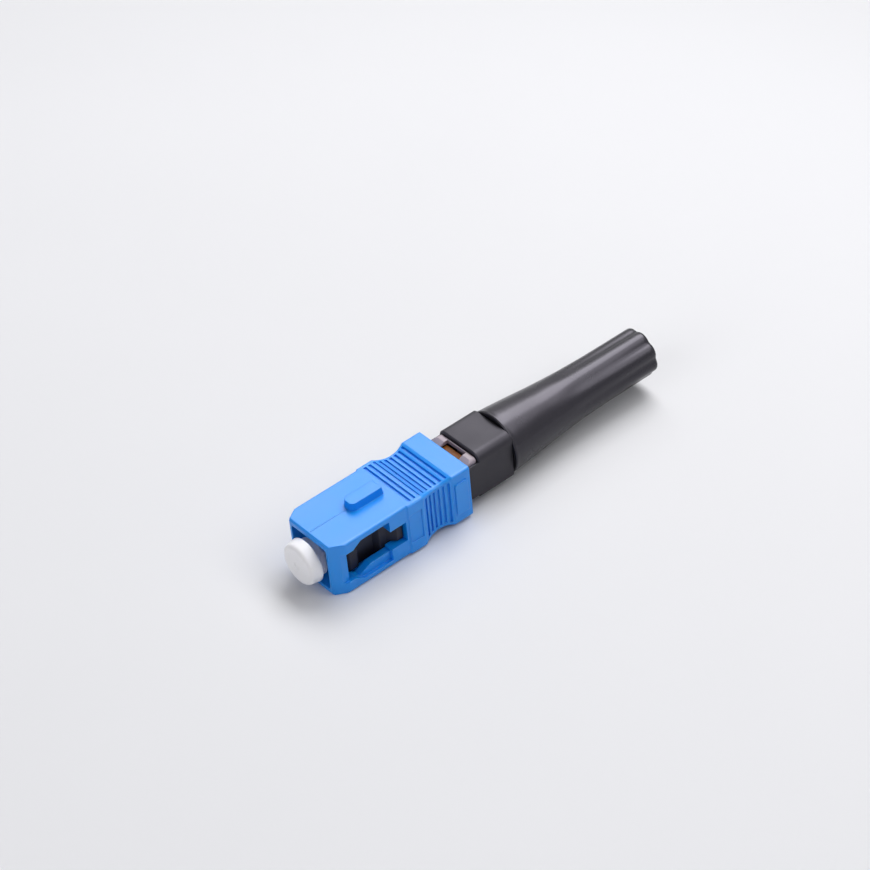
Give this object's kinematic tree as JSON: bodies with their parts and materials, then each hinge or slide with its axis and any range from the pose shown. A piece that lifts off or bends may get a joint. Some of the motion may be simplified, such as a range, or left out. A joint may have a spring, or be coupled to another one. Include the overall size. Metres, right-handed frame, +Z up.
{
  "type": "fibre optic connector",
  "caption": "Push-pull optical plug with keyed rectangular grip, capped ferrule, sliding lock ring, square rear block and a tapered, fluted screw cap for the cable.",
  "frame": {"origin": "on the fibre axis, in the plane of the grip's front face", "axes": "+Y along the fibre axis towards the cable end, +Z up through the key, X across the plug"},
  "size_m": [0.0094, 0.0539, 0.0089],
  "materials": {
    "dust_cap": "translucent, satin",
    "grip": "satin",
    "black": "satin",
    "zirconia": "polished",
    "fibre": "polished",
    "steel": "brushed",
    "clamp": "satin",
    "amber": "translucent",
    "slider": "matt"
  },
  "bodies": {
    "housing": {"plug_frame": "black", "rear_body": "black", "fibre_guide": "slider", "ferrule_spring": "steel"},
    "ferrule_unit": {"ferrule": "zirconia", "fibre_stub": "fibre", "ferrule_flange": "steel", "clamp_base": "clamp", "clamp_cover_front": "clamp", "clamp_cover_rear": "amber", "clamp_clip": "steel"},
    "cap": {"dust_cap": "dust_cap"},
    "grip": {"grip_sleeve": "grip"},
    "lock": {"locking_slider": "slider"},
    "collet": {"cable_collet": "black"},
    "tail": {"tail_cap": "black"}
  },
  "joints": [
    {"name": "ferrule_float", "type": "slide", "parent": "housing", "child": "ferrule_unit", "axis": [0, 1, 0], "range_m": [0, 0.0008], "stiffness_N_per_m": 1000, "deforming": ["ferrule_spring"]},
    {"name": "dust_cap_pull", "type": "slide", "parent": "ferrule_unit", "child": "cap", "axis": [0, -1, 0], "range_m": [0, 0.008]},
    {"name": "grip_slide", "type": "slide", "parent": "housing", "child": "grip", "axis": [0, 1, 0], "range_m": [0, 0.002]},
    {"name": "lock_slide", "type": "slide", "parent": "housing", "child": "lock", "axis": [0, -1, 0], "range_m": [0, 0.0012]},
    {"name": "collet_slide", "type": "slide", "parent": "housing", "child": "collet", "axis": [0, 1, 0], "range_m": [0, 0.004]},
    {"name": "tail_cap_turn", "type": "hinge", "parent": "collet", "child": "tail", "pos_m": [0, 0.04, 0], "axis": [0, 1, 0], "range_deg": [0, 1440]}
  ],
  "couplings": [
    {"joint": "tail_cap_turn", "follows": "collet_slide", "rad_per_m": 6283.2}
  ]
}
